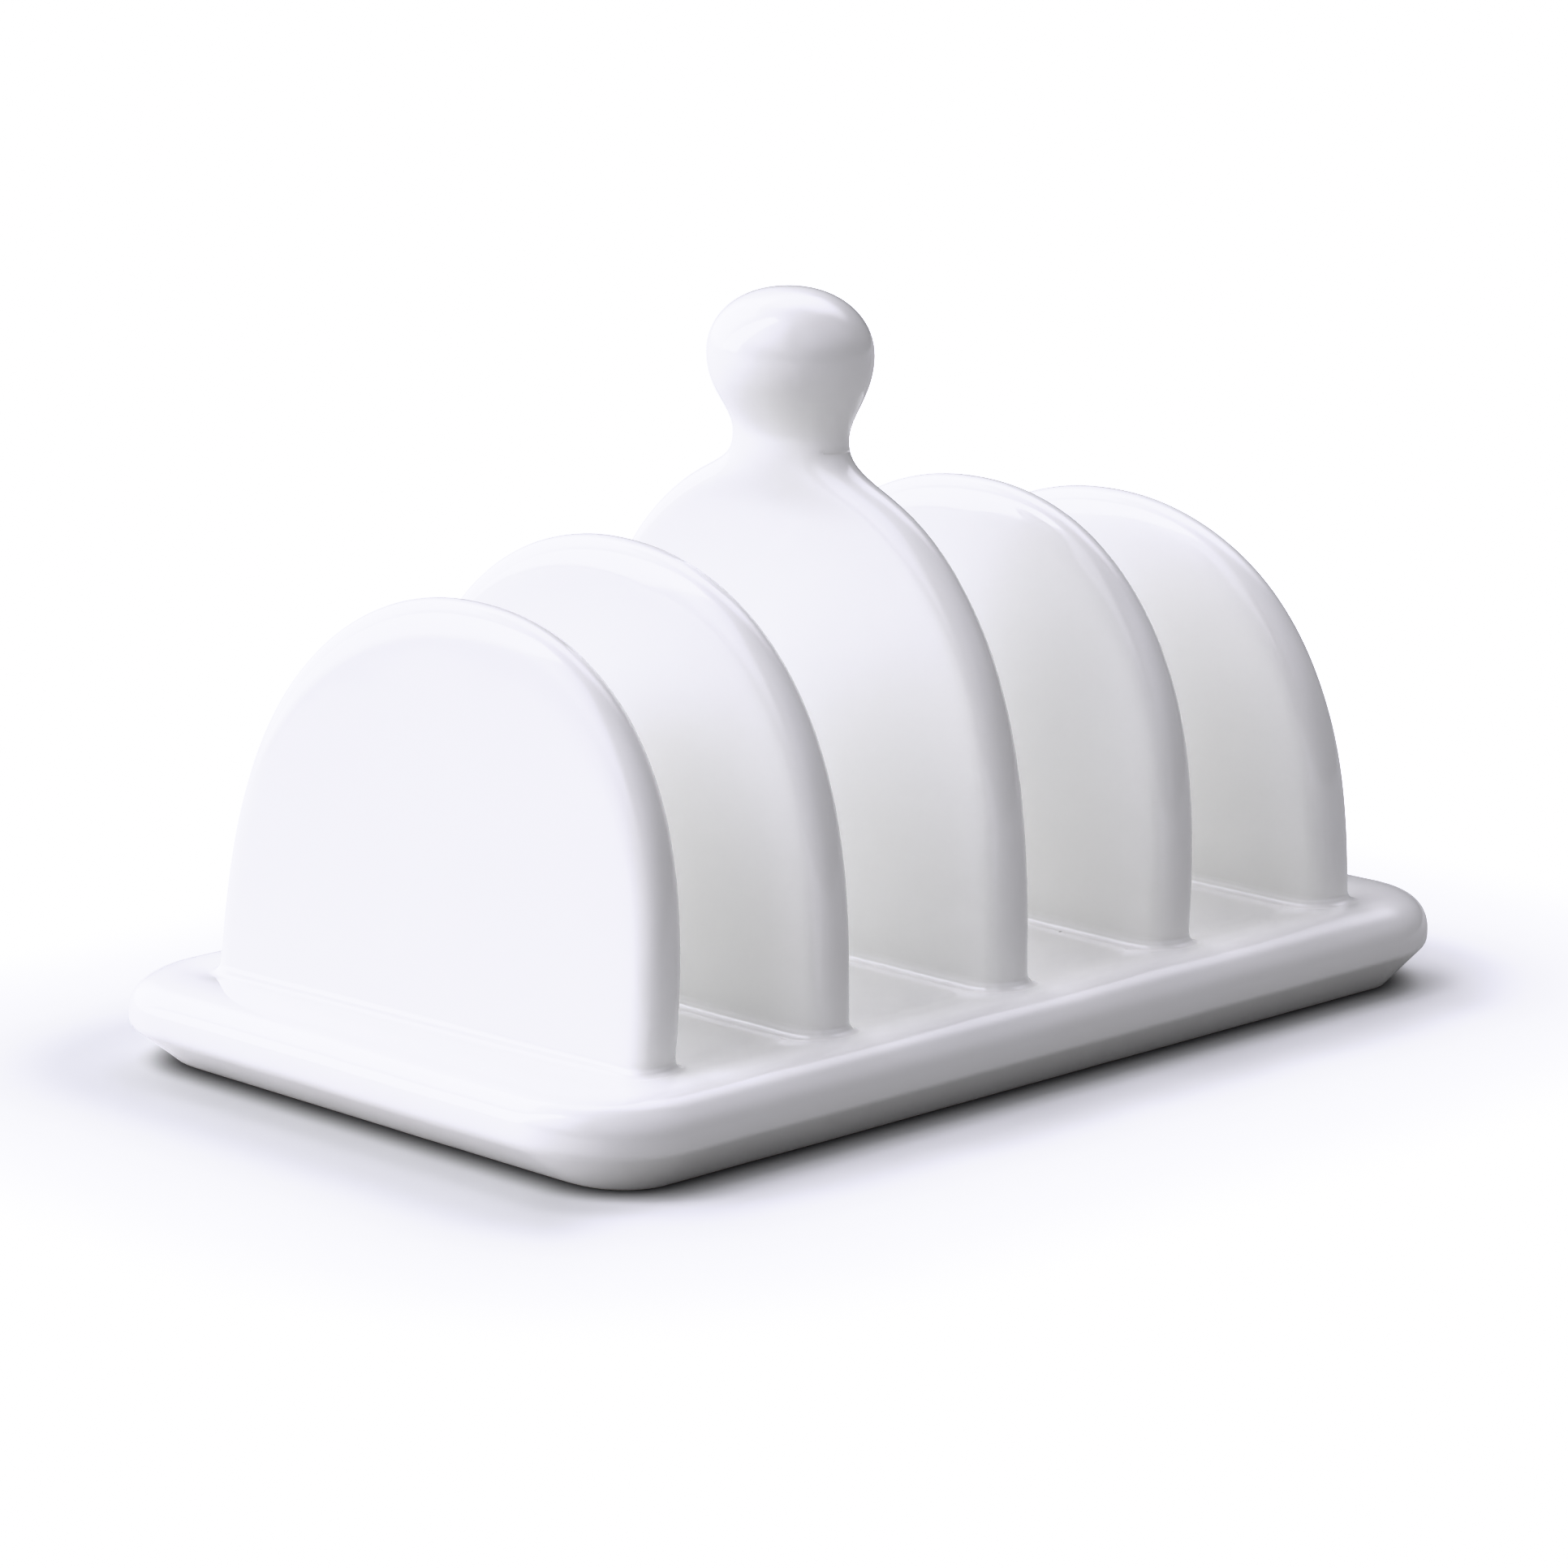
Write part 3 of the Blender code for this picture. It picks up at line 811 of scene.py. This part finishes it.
def make_floor():
    """A pale sheet, with one colour as a bounce and one for the camera, both painted lighter or darker by
    side, with a painted shadow round the foot, that fades to plain white.
    """
    mesh = bpy.data.meshes.new("studio_floor")
    bm = bmesh.new()
    bmesh.ops.create_grid(bm, x_segments=1, y_segments=1, size=FLOOR_HALF_SIZE)
    bm.to_mesh(mesh)
    bm.free()
    material, graph = new_material("pale_floor")
    place = graph.add("ShaderNodeTexCoord").outputs["Object"]
    grain = graph.noise(place, PAPER_SPAN, 3.0)
    parts = graph.add("ShaderNodeSeparateXYZ", Vector=place)
    seen = graph.add("ShaderNodeLightPath").outputs["Is Camera Ray"]
    # Painted light and shade: a diagonal through the near corner splits the floor into a lit side that
    # bounces more light and a shaded side that bounces less.
    ahead = graph.math("SUBTRACT", parts.outputs["Y"], parts.outputs["X"])
    corner = HALF_LENGTH - HALF_WIDTH
    painted_lit_side = graph.rise(ahead, corner - FLOOR_TURN, corner + FLOOR_TURN)
    painted_bounce = graph.blend(painted_lit_side, FLOOR_PAINTED_SHADE_BOUNCE, FLOOR_PAINTED_LIT_BOUNCE)
    # Painted contact shadow: near black at the foot's outline, clearing over a few millimetres outside it.
    foot = (HALF_LENGTH - END_FOOT_INSET, HALF_WIDTH - SIDE_FOOT_INSET, FOOT_CORNER)
    gap = beyond_oblong(graph, parts, *foot)
    clear = graph.rise(gap, -PAINTED_SHADOW_START, PAINTED_SHADOW_REACH)
    # Painted shadow: the camera sees the floor darker on the lit side than on the shaded side.
    seen_with_painted_shade = graph.blend(painted_lit_side, FLOOR_SEEN_SHADE, FLOOR_SEEN_LIT_PAINTED_SHADOW)
    seen_with_painted_shade = graph.blend(clear, PAINTED_CONTACT_SHADOW, seen_with_painted_shade)
    lit = graph.blend(seen, painted_bounce, seen_with_painted_shade)
    colour = graph.blend(graph.math("MULTIPLY", grain, PAPER_STRENGTH), lit, PAPER_FLECK)
    paper = graph.add("ShaderNodeBsdfDiffuse", Color=colour)
    white = graph.add("ShaderNodeEmission", Color=(1, 1, 1, 1), Strength=BACKDROP_WHITE)
    distance = beyond_oblong(graph, parts, HALF_LENGTH, HALF_WIDTH, BASE_CORNER)
    far = graph.math("MULTIPLY", graph.rise(distance, *FLOOR_FADE), seen)
    mixed = graph.add("ShaderNodeMixShader", Fac=far)
    graph.join(paper.outputs[0], mixed.inputs[1])
    graph.join(white.outputs[0], mixed.inputs[2])
    graph.add("ShaderNodeOutputMaterial", Surface=mixed.outputs[0])
    mesh.materials.append(material)
    plane = bpy.data.objects.new("studio_floor", mesh)
    bpy.context.scene.collection.objects.link(plane)


def make_camera():
    camera = bpy.data.cameras.new("camera")
    camera.sensor_width = SENSOR_WIDTH
    camera.lens = LENS
    camera.clip_start, camera.clip_end = CLIP
    obj = bpy.data.objects.new("camera", camera)
    bpy.context.scene.collection.objects.link(obj)
    heading, dip = math.radians(HEADING), math.radians(DIP)
    level = math.cos(dip)
    forward = Vector((level * math.cos(heading), level * math.sin(heading), -math.sin(dip)))
    obj.location = Vector(AIM) - forward * AIM_DISTANCE
    obj.rotation_euler = forward.to_track_quat("-Z", "Y").to_euler()
    bpy.context.scene.camera = obj


def light_patch(graph, azimuth, elevation, middle, half, low, high, soft_side, soft_ends, lean):
    """1 inside a soft-edged patch of the sky, in degrees; lean is how far its top leans round."""
    rise = graph.math("SINE", elevation)
    centre = graph.math("MULTIPLY_ADD", rise, math.radians(lean), math.radians(middle))
    offset = graph.math("SUBTRACT", azimuth, centre)
    away = graph.math("ARCCOSINE", graph.math("COSINE", offset))
    inside = graph.rise(away, math.radians(half + soft_side), math.radians(half - soft_side))
    bottom = graph.rise(elevation, math.radians(low - soft_ends), math.radians(low + soft_ends))
    top = graph.rise(elevation, math.radians(high + soft_ends), math.radians(high - soft_ends))
    return graph.math("MULTIPLY", graph.math("MULTIPLY", inside, bottom), top)


def set_world():
    world = bpy.data.worlds.new("studio")
    world.use_nodes = True
    graph = Graph(world.node_tree)
    place = graph.add("ShaderNodeTexCoord")
    parts = graph.add("ShaderNodeSeparateXYZ", Vector=place.outputs["Generated"])
    azimuth = graph.math("ARCTAN2", parts.outputs["Y"], parts.outputs["X"])
    elevation = graph.math("ARCSINE", parts.outputs["Z"])
    total = STUDIO_DARK
    for brightness, *patch in STUDIO_PATCHES:
        inside = light_patch(graph, azimuth, elevation, *patch)
        total = graph.math("MULTIPLY_ADD", inside, brightness, total)
    lit = graph.add("ShaderNodeBackground", Color=STUDIO_COLOUR, Strength=total)
    seen = graph.add("ShaderNodeBackground", Color=(1, 1, 1, 1), Strength=BACKDROP_WHITE)
    path = graph.add("ShaderNodeLightPath")
    mixed = graph.add("ShaderNodeMixShader", Fac=path.outputs["Is Camera Ray"])
    graph.join(lit.outputs[0], mixed.inputs[1])
    graph.join(seen.outputs[0], mixed.inputs[2])
    graph.add("ShaderNodeOutputWorld", Surface=mixed.outputs[0])
    world.cycles.sampling_method = "MANUAL"
    world.cycles.sample_map_resolution = WORLD_MAP_SIZE
    bpy.context.scene.world = world


def set_tone():
    """Standard colours with a film-like shoulder, so that the glaze keeps its shape against white."""
    view = bpy.context.scene.view_settings
    view.view_transform = "Standard"
    view.use_curve_mapping = True
    curves = view.curve_mapping
    curves.clip_max_x = curves.clip_max_y = TONE_POINTS[-1][0]
    curves.white_level = (1, 1, 1)
    for channel, curve in enumerate(curves.curves[:3]):
        places = [(light, (warm, warm, blue)[channel]) for light, warm, blue in TONE_POINTS]
        curve.points[0].location = places[0]
        curve.points[1].location = places[-1]
        for place in places[1:-1]:
            curve.points.new(*place)
    curves.update()


noise.seed_set(WOBBLE_SEED)
glaze = make_glaze()
make_base(make_footed_glaze())
for node in ("front_end_divider", "front_inner_divider", "rear_inner_divider", "rear_end_divider"):
    make_arch(node + "_glazed", node, glaze, FRONT_DRAFT if node == "front_end_divider" else 0.0)
make_centre(glaze)
make_floor()
make_camera()
set_world()
set_tone()
